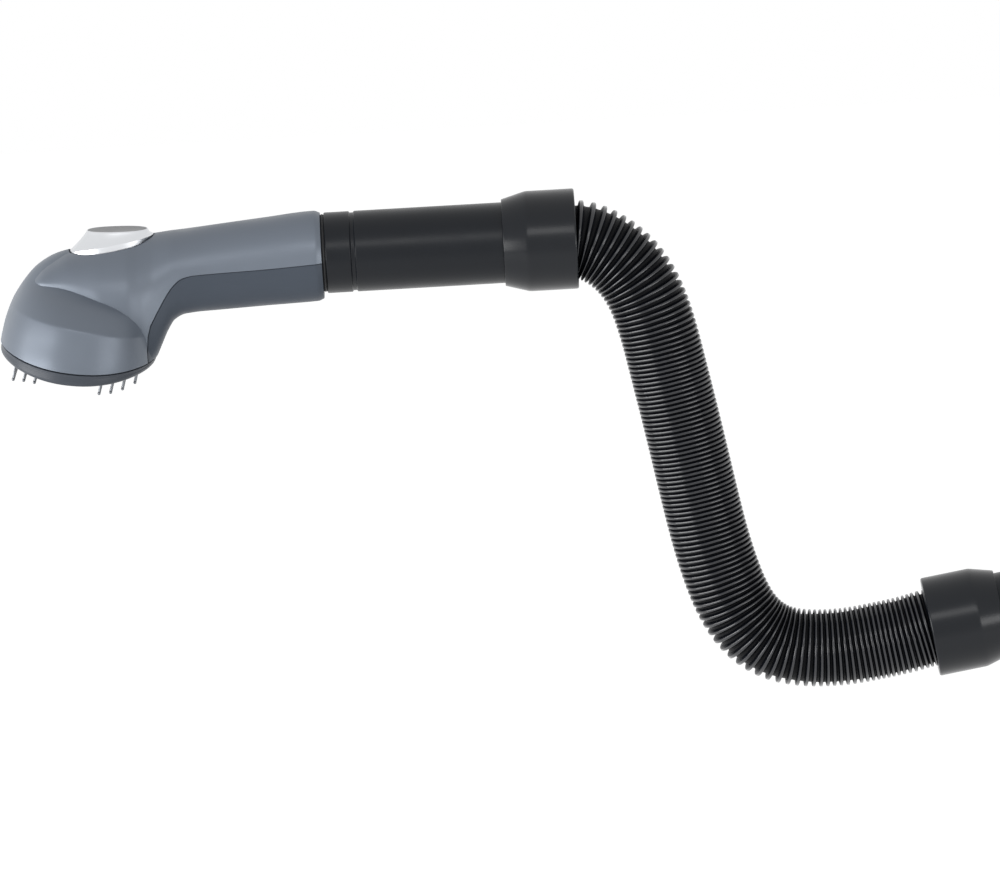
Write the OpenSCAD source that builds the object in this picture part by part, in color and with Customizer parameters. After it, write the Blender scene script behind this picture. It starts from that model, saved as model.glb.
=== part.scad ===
// Hand-held pet dryer: a grooming head with a push button and a pin sole, a wand tube,
// and a short ribbed stretch hose between two like cuffs, with a plug for the machine.
// Millimetres. X runs along the wand, towards the hose, Z is up, and the origin is on the
// wand's axis at the middle of the grip. The part is the same on both sides of Y = 0.

/* [Wand] */
// Outside diameter of the wand tube
wand_d = 33; // [32:0.5:33.5]
// Wall of the wand tube along the grip
wand_wall = 2; // [1.6:0.1:2.4]
// Length of the wand tube between its two shoulders
grip_len = 73.6; // [60:0.2:90]

/* [Head] */
// Lean of the pins and of the sole from the wand, in degrees
head_tilt = 12; // [10:0.5:14]
// Length of the head along the sole
head_len = 64.6; // [63:0.2:67]
// Width of the head across the sole
head_w = 88; // [86:0.5:92]
// Height of the head's crown above the parting line of the sole
dome_h = 44; // [43:0.5:46]
// Wall of the moulded shells
shell_wall = 2.2; // [1.8:0.1:2.4]

/* [Sole] */
// Radius of the rocking curve of the sole
sole_r = 80; // [76:1:90]
// Height of the sole's rim at its middle
rim_h = 5.3; // [5:0.1:6]
// How far the pins stand out below the rim
pin_reach = 5; // [4:0.5:6]
// Diameter of a pin's shaft
pin_d = 0.7; // [0.6:0.1:0.9]
// Diameter of a pin's ball tip
pin_ball_d = 1.3; // [1.2:0.1:1.5]
// Distance between pins
pin_pitch = 4.5; // [4.3:0.1:5]

/* [Button] */
// Length of the button where it leaves the head
button_len = 34.6; // [33:0.2:36]
// Width of the button where it leaves the head
button_w = 25.6; // [24:0.2:27]
// Travel of the button and the wiper plate
button_travel = 5; // [3:0.5:5]

/* [Hose] */
// Outside diameter of the hose over its ribs
hose_d = 32; // [31:0.5:32]
// Bore of the hose
hose_bore = 28.6; // [28.4:0.1:29]
// Depth of the groove between two ribs
rib_depth = 1; // [0.6:0.1:1.2]
// Distance between ribs where the hose is closed up
closed_pitch = 1.9; // [1.8:0.05:2.2]
// Distance between ribs where the hose is bent open
open_pitch = 3; // [2.6:0.1:3.4]

/* [Cuffs] */
// Outside diameter of a hose cuff
cuff_d = 41; // [40:0.5:43]
// Length of a cuff's cylinder, before its cone
cuff_straight = 20; // [18:0.5:21]
// Diameter of the plug that goes into the machine
plug_d = 32; // [31:0.5:33]
// Length of the plug past its collar
plug_len = 24; // [20:1:30]

/* [Hidden] */
$fn = 64;

wand_r = wand_d / 2;
fit_gap = 0.06;                        // running clearance of a bush on its spigot
free_gap = 0.3;                        // clearance of faces that only pass each other
wand_front = -36;                      // the wand's shoulder at the head
wand_rear = wand_front + grip_len;     // the wand's shoulder at the hose

// The swivel, the same at both ends of the hose, measured inwards from a cuff's mouth
cuff_len = 29.9;
shoulder_at = 28.9;                    // shoulder of the tube that the cuff meets
hose_end_at = 27.3;                    // face that the hose's end butts on
spigot_r = 12.9;
spigot_bore = 11.5;
spigot_end_at = 4.5;
ring_at = 5.2;                         // snap ring in its groove
ring_w = 1.2;
mouth_x = wand_rear + shoulder_at;

// The far end of the hose: centre of the rear cuff's mouth, and the lean of its axis
far_mouth = [203, 0, -170];
far_lean = 8.5;

// Route of the hose between the mouths of the two cuffs, in X and Z
hose_route = [[69.5, -0.6], [75.5, -3.2], [81.5, -7.5], [86.5, -12.5], [90.2, -18],
              [93.2, -24], [95.6, -31], [97.7, -39], [99.6, -48], [101.5, -58],
              [103.5, -68], [105.6, -79], [107.6, -90], [109.6, -101], [111.6, -112],
              [113.7, -123], [116.2, -134], [119.3, -145], [123.3, -156], [129.5, -166],
              [138.5, -172.8], [149, -175.6], [160, -176.3], [170, -176], [180, -174.6],
              [190, -173.1], [197, -171.6]];

// The head's own frame: origin on the parting line, X along the sole, Z along the pins
head_pos = [-139.4, 0, -35.85];
rock_x = -5.3;                           // lowest point of the rocking sole
parting_r = 110;                       // curve of the line between shells and sole frame
parting_low = -1.2;
rim_low = parting_low - rim_h;
rock_z = rim_low + sole_r;             // centre of the curves of rim, bed and wiper plate
outline_p = 2.3;                       // roundness of the plan outline, 2 is an ellipse
bed_up = 4;                            // bed's underside above the rim's lowest curve
bed_t = 2.5;
wiper_t = 1.8;
stem_x = 2.7;
stem_r = 3.5;
guide_r = 6;
guide_top = 26;
slot = [16, 22];                       // air slot in the sole, along X and Y
slot_at = [-2.1, 20];
front_columns = [-24.4, -19.9, -15.4];
rear_columns = [11.2, 15.7, 20.2, 24.7];
screw_x = [-10.8, 0.2];
screw_y = 34.5;

// Half-width of the head by height: wall, shoulder, and the crown under the hood
shoulder = [[-9, 44], [0, 44], [16.8, 41.6], [19, 39.6], [24, 32], [29, 22.5], [33, 18],
            [37, 14], [41, 9], [43.5, 4]];

// Slope of the head's sections along the sole by height, where the shoulder falls to the rear
shoulder_slope = [[0, 0], [16.8, -0.05], [36, 0]];

// Neck and hood: X, top, bottom and half-width of each section
neck = [[-37.5, 16.5, -18.3, 17.4], [-39.9, 17.4, -19.2, 18.3], [-60, 15.9, -19.7, 18.2],
        [-80, 14.2, -20.2, 18.5], [-94, 13, -20.4, 19.6], [-98.5, 12.7, -21.8, 20.5],
        [-101.5, 12.4, -25.2, 21.3], [-104.5, 12.1, -31, 22.3], [-107, 11.9, -36, 23.3],
        [-112, 11.3, -42, 25.5], [-118, 10.6, -39, 27], [-127, 9.2, -31, 26.2],
        [-135, 8, -23.5, 24], [-141, 6.9, -18.2, 22.1], [-147, 4.4, -13.7, 20.1],
        [-151, 2, -10.3, 18.3], [-154, -0.6, -7.3, 15], [-156.5, -3, -5, 8]];

// Line between the upper and the lower shell, in X and Z, from the neck's end to the sole
shell_line = [[-30, -1.4], [-64, -2.9], [-90, -3.4], [-95.5, -4.6], [-98.8, -7.2],
              [-101.5, -11], [-108.8, -23], [-110, -29], [-110.3, -50]];

// ---- helpers ----

// A superellipse of half-axes a and b as n points
function oval(a, b, n = 48, p = outline_p) =
    [for (i = [0:n - 1]) let (c = cos(360 * i / n), s = sin(360 * i / n))
        [sign(c) * a * pow(abs(c), 2 / p), sign(s) * b * pow(abs(s), 2 / p)]];

// Two triangles for each square between ring k and ring k + 1, of n points each
function band(k, n) =
    [for (i = [0:n - 1]) let (a = k * n + i, b = k * n + (i + 1) % n)
        each [[a, a + n, b], [b, a + n, b + n]]];

// A closed solid through a stack of rings with the same number of points
module loft(rings) {
    n = len(rings[0]);
    last = (len(rings) - 1) * n;
    polyhedron([for (r = rings) each r],
               concat([[for (i = [0:n - 1]) i]],
                      [for (k = [0:len(rings) - 2]) each band(k, n)],
                      [[for (i = [n - 1:-1:0]) last + i]]));
}

// A turned piece about X, from a profile of [radius, x]
module turned(profile) {
    rotate([0, 90, 0]) rotate_extrude($fn = 96) polygon(profile);
}

// Places a piece in the head's own frame
module in_head() {
    translate(head_pos) rotate([0, head_tilt, 0]) children();
}

// Places a piece whose X runs inwards from a cuff's mouth
module at_front_mouth() {
    translate([mouth_x, 0, 0]) mirror([1, 0, 0]) children();
}
module at_rear_mouth() {
    translate(far_mouth) rotate([0, -far_lean, 0]) children();
}

// ---- head: outer form ----

function dome_half(h) = head_len / 2 * sqrt(1 - pow(max(h, 0) / dome_h, 2.35));
function dome_wide(h) = lookup(h * 44 / dome_h, shoulder) * head_w / 88;

module dome(inset = 0, levels = [-8, 0, 8, 14, 16.8, 19, 24, 29, 33, 37, 41, 43.4], n = 56) {
    up = inset / 2;
    in_head() loft([for (h = levels)
        [for (q = oval(dome_half(h + up) - inset, dome_wide(h + up) - inset, n))
            [q[0], q[1], h + q[0] * lookup(h, shoulder_slope)]]]);
}

// One section of the neck and hood
function neck_ring(s, inset, n) =
    [for (q = oval((s[1] - s[2]) / 2 - inset, s[3] - inset, n, 2.15))
        [s[0], q[1], (s[1] + s[2]) / 2 + q[0]]];

module neck_form() {
    loft([for (s = neck) neck_ring(s, 0, 36)]);
}

module hood_room() {
    loft([for (s = neck) if (s[0] < -97 && s[0] > -150) neck_ring(s, shell_wall + 0.2, 20)]);
}

// All that lies under a curve that rocks along the sole
module under(r, low) {
    in_head() difference() {
        translate([-45, -60, low - 30]) cube([92, 120, 50]);
        translate([rock_x, 0, low + r]) rotate([90, 0, 0]) cylinder(r = r, h = 140, center = true, $fn = 240);
    }
}

// The side of the shell line on which the lower shell lies
module below_line(gap = 0) {
    translate([gap, 60, -gap]) rotate([90, 0, 0]) linear_extrude(120)
        polygon(concat(shell_line, [[-20, -50], [-20, -1.4]]));
}

// Duct for the air along the neck, and the seat of the neck bush
module neck_duct() {
    translate([-58, 0, -0.3]) rotate([0, -90 - 4.9, 0]) cylinder(r = 13, h = 52);
    turned([[0, -36], [14.6, -36], [14.6, -60], [0, -60]]);
    turned([[0, -59.9], [14.75, -59.9], [14.75, -66], [0, -66]]);
}

module shells() {
    difference() {
        union() {
            dome();
            neck_form();
        }
        dome(shell_wall, [-9, 0, 9, 16, 20, 26, 32, 37, 40], 32);
        hood_room();
        neck_duct();
        under(parting_r, parting_low);
        button_well();
    }
}

// ---- head: pieces ----

// A button-shaped plate: an oval of half-axes a and b, in the plane of the button's foot or top
module foot_oval(a, b, along = 0) {
    in_head() translate([0, 0, along]) rotate([0, -head_tilt, 0]) translate(-head_pos)
        translate([-123.2, 0, 9.7]) rotate([0, -8, 0]) linear_extrude(0.1) polygon(oval(a, b, 32));
}
module top_oval(a, b, down = 0, t = 0.1) {
    translate([-121.1, 0, 15.4]) rotate([0, 1.6, 0]) translate([0, 0, -down - t])
        linear_extrude(t) polygon(oval(a, b, 32));
}

// Well in the hood for the button, along its travel
module button_well() {
    hull() {
        foot_oval(button_len / 2 + 0.7, button_w / 2 + 0.7, 10);
        foot_oval(button_len / 2 + 0.7, button_w / 2 + 0.7, -18);
    }
}

module screw_bosses() {
    intersection() {
        in_head() for (x = screw_x, side = [-1, 1]) translate([x, side * screw_y, 0.7])
            cylinder(r = 3.2, h = 28);
        dome(1);
    }
}

module screw_holes(r, h) {
    in_head() for (x = screw_x, side = [-1, 1]) translate([x, side * screw_y, -6])
        cylinder(r = r, h = h + 6);
}

module upper_shell() {
    color("#7d8690") difference() {
        union() {
            difference() {
                shells();
                below_line();
            }
            screw_bosses();
        }
        screw_holes(1.4, 11);
    }
}

module lower_shell() {
    color("#4d525c") intersection() {
        shells();
        below_line(0.15);
    }
}

// A plate that follows the sole's curve, between two heights over the rim
module curved_plate(a, b, low, high) {
    intersection() {
        translate([0, 0, -30]) linear_extrude(80) polygon(oval(a, b));
        translate([rock_x, 0, rock_z]) rotate([90, 0, 0]) difference() {
            cylinder(r = sole_r - low, h = 100, center = true);
            cylinder(r = sole_r - high, h = 110, center = true);
        }
        translate([-50, -50, -20]) cube([100, 100, 60]);
    }
}

module air_slots(h) {
    for (side = [-1, 1]) translate([slot_at[0], side * slot_at[1], -20]) linear_extrude(h)
        union() {
            square([slot[0] - 5, slot[1]], center = true);
            square([slot[0], slot[1] - 5], center = true);
            for (x = [-1, 1], y = [-1, 1])
                translate([x * (slot[0] / 2 - 2.5), y * (slot[1] / 2 - 2.5)]) circle(r = 2.5);
        }
}

module sole_frame() {
    color("#52575f") in_head() difference() {
        intersection() {
            translate([0, 0, -9]) linear_extrude(18) polygon(oval(head_len / 2 - 0.6, head_w / 2 - 0.6));
            translate([rock_x, 0, rock_z]) rotate([90, 0, 0]) cylinder(r = sole_r, h = 120, center = true);
        }
        translate([rock_x, 0, parting_low + parting_r]) rotate([90, 0, 0])
            cylinder(r = parting_r + 0.5, h = 120, center = true);
        translate([0, 0, -15]) linear_extrude(40)
            polygon(oval(head_len / 2 - 4.9, head_w / 2 - 4));
        translate([0, 0, -15]) intersection() {
            linear_extrude(40) polygon(oval(head_len / 2 - 3, head_w / 2 - 2));
            translate([rock_x, 0, rock_z + 15]) rotate([90, 0, 0])
                cylinder(r = sole_r - bed_up + 0.05, h = 120, center = true);
        }
    }
}

module pin_bed() {
    color("#3c4046") in_head() difference() {
        union() {
            curved_plate(head_len / 2 - 3.8, head_w / 2 - 2.9, bed_up, bed_up + bed_t);
            translate([stem_x, 0, -1.5]) cylinder(r = guide_r, h = guide_top + 1.5);
        }
        translate([stem_x, 0, -10]) cylinder(r = stem_r + fit_gap, h = 60);
        air_slots(60);
        for (x = screw_x, side = [-1, 1]) translate([x, side * screw_y, -6]) {
            cylinder(r = 1.5, h = 12);
            cylinder(r = 2.7, h = 5.3);
        }
    }
}

// Places of the pins inside the oval of the sole
function pin_rows(x) = [for (k = [-9:9]) let (y = k * pin_pitch)
    if (pow(abs(x) / 27.2, outline_p) + pow(abs(y) / 38.8, outline_p) < 1) [x, y]];
pin_places = [for (x = concat(front_columns, rear_columns)) each pin_rows(x)];

// Height of the pins' tips along the sole at no reach: level in front, rising at the rear
tip_line = [[-24.4, -7], [-19.9, -5.2], [-15.4, -4.6], [11.2, -4.4], [15.7, -4], [20.2, -2.6],
            [24.7, -0.8]];

function curve_z(x, r) = rock_z - sqrt(r * r - (x - rock_x) * (x - rock_x));

module pins() {
    color("#a9abaf") in_head() for (q = pin_places) {
        tip = lookup(q[0], tip_line) - pin_reach + pin_ball_d / 2;
        root = curve_z(q[0], sole_r - bed_up) + 1;
        translate([q[0], q[1], tip]) {
            cylinder(d = pin_d, h = root - tip, $fn = 16);
            sphere(d = pin_ball_d, $fn = 16);
        }
    }
}

module bed_screws() {
    color("#8c8f94") in_head() for (x = screw_x, side = [-1, 1])
        translate([x, side * screw_y, -2.05]) {
            cylinder(r = 2.5, h = 1.3);
            cylinder(r = 1.3, h = 11);
        }
}

module neck_bush() {
    color("#d8d8d2") turned([[13.4 + fit_gap, -59.8], [14.55, -59.8], [14.55, -38], [13.4 + fit_gap, -38]]);
}

// ---- wiper plate and button ----

module wiper_plate() {
    top = bed_up - free_gap;
    color("#2f3237") in_head() difference() {
        curved_plate(head_len / 2 - 5.3, head_w / 2 - 4.4, top - wiper_t, top);
        air_slots(60);
        translate([0, 0, -30]) linear_extrude(60) for (q = pin_places) translate(q) circle(r = 0.95);
        translate([stem_x, 0, -3.3]) cylinder(r = stem_r + 0.05, h = 10);
        translate([stem_x, 0, -12]) cylinder(r = 2.05, h = 20);
        translate([stem_x, 0, -12]) cylinder(r = 3.05, h = 7.9);
    }
}

module push_stem() {
    color("#e2e2dc") in_head() translate([stem_x, 0, 0]) difference() {
        union() {
            translate([0, 0, -3.3]) cylinder(r = stem_r, h = 52.3);
            translate([0, 0, -4.05]) cylinder(r = 2, h = 2);
        }
        translate([0, 0, -5]) cylinder(r = 1.2, h = 13);
    }
}

module wiper_screw() {
    color("#8c8f94") in_head() translate([stem_x, 0, -5.4]) {
        cylinder(r = 2.9, h = 1.3);
        cylinder(r = 1.15, h = 11);
    }
}

module button_skirt() {
    a = button_len / 2;
    b = button_w / 2;
    color("#e6e8ea") difference() {
        union() {
            difference() {
                union() {
                    hull() {
                        top_oval(12.4, 9);
                        foot_oval(a, b);
                    }
                    hull() {
                        foot_oval(a, b);
                        foot_oval(a, b, -8);
                    }
                }
                hull() {
                    top_oval(10.6, 7.2, 2.6);
                    foot_oval(a - 1.8, b - 1.8, -9);
                }
            }
            in_head() translate([stem_x, 0, 44]) cylinder(r = 5.6, h = 7);
        }
        top_oval(11.2, 7.8, -0.1, 1.1);
        in_head() translate([stem_x, 0, 40]) cylinder(r = stem_r, h = 9);
    }
}

module button_top() {
    color("#a6a8aa") top_oval(11.1, 7.7, 0, 0.95);
}

// Return spring, one unbroken coil from the guide to the button's boss
spring_turns = 7;
spring_r = 4.7;
spring_wire = 0.45;
module button_spring() {
    steps = 10;
    rise = 44 - guide_top - 2 * spring_wire - 0.1;
    ring = [for (j = [0:5]) [cos(60 * j) * spring_wire, sin(60 * j) * spring_wire]];
    color("#b8bbc0") in_head() translate([stem_x, 0, guide_top + spring_wire + 0.05])
        loft([for (i = [0:spring_turns * steps]) let (t = -i * 360 / steps)
            [for (q = ring) [(spring_r + q[0]) * cos(t), (spring_r + q[0]) * sin(t),
                             rise * i / (spring_turns * steps) + q[1]]]]);
}

// ---- wand ----

module wand_tube() {
    r = wand_r;
    bore = wand_r - wand_wall;
    color("#34373b") turned([
        [12, -64], [13.1, -64], [13.4, -63.7], [13.4, -62.6], [12.7, -62.6], [12.7, -61.3],
        [13.4, -61.3], [13.4, wand_front], [r - 0.5, wand_front], [r, wand_front + 0.5],
        [r, -25.6], [r - 0.6, -25.2], [r - 0.6, -24], [r, -23.6],
        [r, wand_rear - 0.4], [r - 0.4, wand_rear], [spigot_r, wand_rear],
        [spigot_r, mouth_x - ring_at - ring_w - 0.05], [12.2, mouth_x - ring_at - ring_w - 0.05],
        [12.2, mouth_x - ring_at + 0.05], [spigot_r, mouth_x - ring_at + 0.05],
        [spigot_r, mouth_x - spigot_end_at - 0.3], [spigot_r - 0.3, mouth_x - spigot_end_at],
        [spigot_bore, mouth_x - spigot_end_at], [spigot_bore, wand_rear - 1],
        [bore, wand_rear - 4], [bore, wand_front + 5], [12, wand_front + 2]]);
}

module neck_seal() {
    color("#1d1e20") turned([[13.5, -37.4], [15.6, -37.4], [15.9, -36.8], [15.6, wand_front], [13.5, wand_front]]);
}

// A snap ring in a groove: a turned ring, open over a sixth of a turn
module snap_ring(inner, outer, at) {
    rotate([0, 90, 0]) rotate_extrude(angle = 310, start = 25)
        polygon([[inner, at], [outer, at], [outer, at + ring_w], [inner, at + ring_w]]);
}

module neck_snap_ring() {
    color("#9da0a4") snap_ring(12.75, 14.2, -62.55);
}
module front_snap_ring() {
    color("#9da0a4") at_front_mouth() snap_ring(12.25, 13.4, ring_at);
}
module rear_snap_ring() {
    color("#9da0a4") at_rear_mouth() snap_ring(12.25, 13.4, ring_at);
}

// ---- cuffs, bushes and plug, with X running inwards from the mouth ----

module cuff() {
    bore = hose_d / 2 + 0.15;
    r = cuff_d / 2;
    turned([[bore + 0.8, 0], [r - 1, 0], [r - 0.3, 0.3], [r, 1], [r, cuff_straight],
            [17.7, cuff_len], [wand_r + free_gap, cuff_len], [wand_r + free_gap, hose_end_at + 1.3],
            [13.2, hose_end_at + 1.3], [13.2, hose_end_at], [bore, hose_end_at], [bore, 0.8]]);
}

module swivel_bush() {
    turned([[spigot_r + fit_gap, 6.7], [13.85, 6.7], [13.85, hose_end_at - 0.2],
            [spigot_r + fit_gap, hose_end_at - 0.2]]);
}

module front_cuff() {
    color("#323538") at_front_mouth() cuff();
}
module rear_cuff() {
    color("#323538") at_rear_mouth() cuff();
}
module front_bush() {
    color("#d8d8d2") at_front_mouth() swivel_bush();
}
module rear_bush() {
    color("#d8d8d2") at_rear_mouth() swivel_bush();
}

collar_at = 40;
module machine_plug() {
    r = plug_d / 2;
    bore = r - 2.2;
    color("#2c2e31") at_rear_mouth() turned([
        [spigot_bore, spigot_end_at], [spigot_r - 0.3, spigot_end_at], [spigot_r, spigot_end_at + 0.3],
        [spigot_r, ring_at - 0.05], [12.2, ring_at - 0.05], [12.2, ring_at + ring_w + 0.05],
        [spigot_r, ring_at + ring_w + 0.05], [spigot_r, shoulder_at], [wand_r, shoulder_at],
        [wand_r, collar_at], [19.2, collar_at + 0.5], [19.5, collar_at + 1], [19.5, collar_at + 3],
        [r - 1.5, collar_at + 3], [r - 1.5, collar_at + 5], [r, collar_at + 5],
        [r, collar_at + 4 + plug_len], [r - 1, collar_at + 5 + plug_len],
        [bore, collar_at + 5 + plug_len], [bore, shoulder_at + 4], [spigot_bore, shoulder_at + 1]]);
}

module plug_seal() {
    r = plug_d / 2;
    color("#1d1e20") at_rear_mouth() turned([[r - 1.45, collar_at + 3.1], [r + 0.9, collar_at + 3.1],
        [r + 0.9, collar_at + 4.2], [r - 0.2, collar_at + 4.9], [r - 1.45, collar_at + 4.9]]);
}

// ---- hose ----

// The whole route: straight inside the front cuff, over the chosen points, straight into the rear one
function far_point(d) = [far_mouth[0] + d * cos(far_lean), far_mouth[2] + d * sin(far_lean)];
hose_start = [mouth_x - hose_end_at, 0];
route = concat([for (k = [0:0.25:1]) [hose_start[0] + k * 25.5, 0]], hose_route,
               [for (k = [0:0.25:1]) far_point(k * hose_end_at)]);

// A smooth curve near the route's points: a cubic B-spline whose ends reach the end points
route_ends = concat([2 * route[0] - route[1]], route, [2 * route[len(route) - 1] - route[len(route) - 2]]);
function smooth(i, t) =
    (route_ends[i] * pow(1 - t, 3) + route_ends[i + 1] * (3 * pow(t, 3) - 6 * t * t + 4)
     + route_ends[i + 2] * (-3 * pow(t, 3) + 3 * t * t + 3 * t + 1) + route_ends[i + 3] * pow(t, 3)) / 6;
spline_steps = 6;
hose_line = concat([for (i = [0:len(route) - 2], k = [0:spline_steps - 1]) smooth(i, k / spline_steps)],
                   [smooth(len(route) - 2, 1)]);

function run(line, i = 1, done = [0]) =
    i == len(line) ? done : run(line, i + 1, concat(done, [done[i - 1] + norm(line[i] - line[i - 1])]));
hose_run = run(hose_line);
hose_len = hose_run[len(hose_run) - 1];

// Point, heading and bend of the hose at a distance s along it
xs = [for (i = [0:len(hose_line) - 1]) [hose_run[i], hose_line[i][0]]];
zs = [for (i = [0:len(hose_line) - 1]) [hose_run[i], hose_line[i][1]]];
function at(s) = [lookup(s, xs), lookup(s, zs)];
function heading(s) = let (a = at(max(s - 1.5, 0)), b = at(min(s + 1.5, hose_len))) atan2(b[1] - a[1], b[0] - a[0]);
function bend(s) = abs(heading(min(s + 5, hose_len)) - heading(max(s - 5, 0))) / 10;

// Ribs lie closed up on a straight run and apart on a bend; full_bend is where they are all open
full_bend = 1.2;
function pitch(s) = closed_pitch + (open_pitch - closed_pitch) * min(bend(s) / full_bend, 1);
function ribs(s = closed_pitch / 2, done = []) =
    s > hose_len - closed_pitch / 3 ? done : ribs(s + pitch(s), concat(done, [s]));

module hose() {
    sides = 12;
    tops = ribs();
    last = len(tops) - 1;
    grooves = [for (i = [0:last - 1]) (tops[i] + tops[i + 1]) / 2];
    outer = concat([[0, 1]], [for (i = [0:last]) each concat([[tops[i], 0]], i < last ? [[grooves[i], 1]] : [])],
                   [[hose_len, 1]]);
    bore_steps = 44;
    inner = [for (i = [0:bore_steps]) hose_len * i / bore_steps];
    function ring(s, r) = let (c = at(s), h = heading(s))
        [for (j = [0:sides - 1]) let (u = r * cos(360 * j / sides), v = -r * sin(360 * j / sides))
            [c[0] - u * sin(h), v, c[1] + u * cos(h)]];
    r = hose_d / 2;
    n = len(outer);
    m = len(inner);
    in0 = n * sides;
    points = concat([for (q = outer) each ring(q[0], r - rib_depth * q[1])],
                    [for (s = inner) each ring(s, hose_bore / 2)]);
    out_faces = [for (k = [0:n - 2]) each band(k, sides)];
    in_faces = [for (k = [0:m - 2], f = band(k, sides)) [in0 + f[0], in0 + f[2], in0 + f[1]]];
    function cap(a, b, flip) = [for (i = [0:sides - 1]) let (j = (i + 1) % sides)
        each (flip ? [[a + i, a + j, b + i], [b + i, a + j, b + j]] : [[a + i, b + i, a + j], [b + i, b + j, a + j]])];
    echo(ribs = len(tops), hose_length = hose_len, triangles = 2 * sides * (n + m));
    color("#2a2b2e") polyhedron(points, concat(out_faces, in_faces, cap(0, in0, true),
        cap((n - 1) * sides, in0 + (m - 1) * sides, false)));
}

upper_shell();
lower_shell();
sole_frame();
pin_bed();
pins();
bed_screws();
neck_bush();
wiper_plate();
push_stem();
wiper_screw();
button_skirt();
button_top();
button_spring();
wand_tube();
neck_seal();
neck_snap_ring();
front_snap_ring();
front_cuff();
front_bush();
hose();
rear_bush();
rear_cuff();
machine_plug();
rear_snap_ring();
plug_seal();
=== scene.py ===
"""Dresses a pet dryer's handset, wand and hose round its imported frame."""

import math

import bmesh
import bpy
from bpy.props import FloatProperty, FloatVectorProperty, IntProperty, PointerProperty
from mathutils import Matrix, Vector


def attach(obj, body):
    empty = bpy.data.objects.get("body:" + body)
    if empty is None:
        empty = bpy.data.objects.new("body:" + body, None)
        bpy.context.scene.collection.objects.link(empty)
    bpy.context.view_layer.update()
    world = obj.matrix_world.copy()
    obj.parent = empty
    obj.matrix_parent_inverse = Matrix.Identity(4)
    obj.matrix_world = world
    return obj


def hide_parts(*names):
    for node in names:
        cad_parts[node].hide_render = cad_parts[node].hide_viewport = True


bl_info = {
    "name": "Pet dryer handset",
    "version": (1, 0, 0),
    "blender": (4, 5, 0),
    "location": "View3D > Sidebar > Pet dryer",
    "description": "Models a pin-soled grooming head on a wand with a ribbed stretch hose",
    "category": "Add Mesh",
}

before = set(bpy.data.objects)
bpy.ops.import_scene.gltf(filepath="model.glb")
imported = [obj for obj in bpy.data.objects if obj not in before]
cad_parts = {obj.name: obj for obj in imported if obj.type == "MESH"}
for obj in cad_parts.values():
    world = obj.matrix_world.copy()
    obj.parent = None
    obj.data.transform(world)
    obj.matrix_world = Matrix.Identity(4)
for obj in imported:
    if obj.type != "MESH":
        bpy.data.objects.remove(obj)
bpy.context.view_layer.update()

MM = 0.001
# Half-width of a cutter that reaches past both sides of the head, in millimetres
PAST_ALL = 60

# The head's own frame, in millimetres: X along the sole, Z along the pins
HEAD = Matrix.Translation((-139.4, 0, -35.85)) @ Matrix.Rotation(math.radians(12), 4, "Y")
ROCK_X = -5.3
PARTING_R, PARTING_LOW = 110, -1.2
SOLE_R, RIM_LOW = 80, -6.5
BED_UP = 4

# Half-width of the head by height over the parting line, drawn for a head of this size
DRAWN_WIDTH, DRAWN_HEIGHT = 88, 44
SHOULDER = [(-9, 44), (0, 44), (8, 43), (15.8, 41.9), (16.4, 41.6), (17, 41), (18, 39.9),
            (21, 36.3), (24, 31.8), (29, 22.5), (33, 18), (37, 14), (41, 9), (43, 4.5), (44, 0.6)]
# Share of the head's length by height
LENGTHS = [(0, 1), (8, 0.984), (16, 0.934), (22, 0.87), (28, 0.79), (33, 0.7), (38, 0.545),
           (41, 0.395), (43, 0.235), (44, 0.02)]
# Slope of the head's sections along the sole by height, where the shoulder falls to the rear
SHOULDER_SLOPE = [(-9, 0), (0, 0), (16.8, -0.05), (36, 0), (44, 0)]

# Neck and hood: place along the wand, top, bottom and half-width of each section
NECK = [(-37.5, 16.5, -18.3, 17.4), (-39.9, 17.4, -19.2, 18.3), (-60, 15.9, -19.7, 18.2),
        (-80, 14.2, -20.2, 18.5), (-94, 13, -20.5, 19.6), (-98.5, 12.7, -22.3, 20.5),
        (-101.5, 12.4, -26.4, 21.3), (-104.5, 12.1, -32.4, 22.3), (-107, 11.9, -37.4, 23.3),
        (-112, 11.3, -42, 25.5), (-118, 10.6, -39, 27), (-127, 9.2, -31, 26.2),
        (-135, 8, -23.5, 24), (-141, 6.9, -18.2, 22.1), (-147, 4.4, -13.7, 20.1),
        (-151, 2, -10.3, 18.3), (-154, -0.6, -7.3, 15), (-156.5, -3, -5, 8)]

# Squareness of the underside along the wand, where 2 is an ellipse
UNDERSIDE = [(-156.5, 2.15), (-114, 2.15), (-108, 3.4), (-102, 4.4), (-96, 4), (-88, 3),
             (-37.5, 2.4)]

# Line between the upper and the lower shell, in X and Z
SHELL_LINE = [(-20, -1), (-30, -1.4), (-64, -2.9), (-84, -3.3), (-90, -3.5), (-94.5, -4.4),
              (-98, -6.8), (-101.2, -10.8), (-105, -16.8), (-108.3, -22.4), (-109.6, -27),
              (-110.2, -33), (-110.3, -50)]
# Reach of the shadow groove to both sides of that line, and its depth
GROOVE_SIDES, GROOVE_DEPTH = (-0.13, 0.17), 0.7

# The swivels, the same at both ends of the hose, measured inwards from a cuff's mouth
MOUTH_X = 66.5
FAR_MOUTH = Vector((203, 0, -170))
FAR_LEAN = 8.5
HOSE_END_AT = 27.3
SHOULDER_AT = 28.9
WAND_FRONT, WAND_REAR = -36, 37.6
SPIGOT_R, SPIGOT_BORE = 12.9, 11.5
COLLAR_AT = 40

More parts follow.
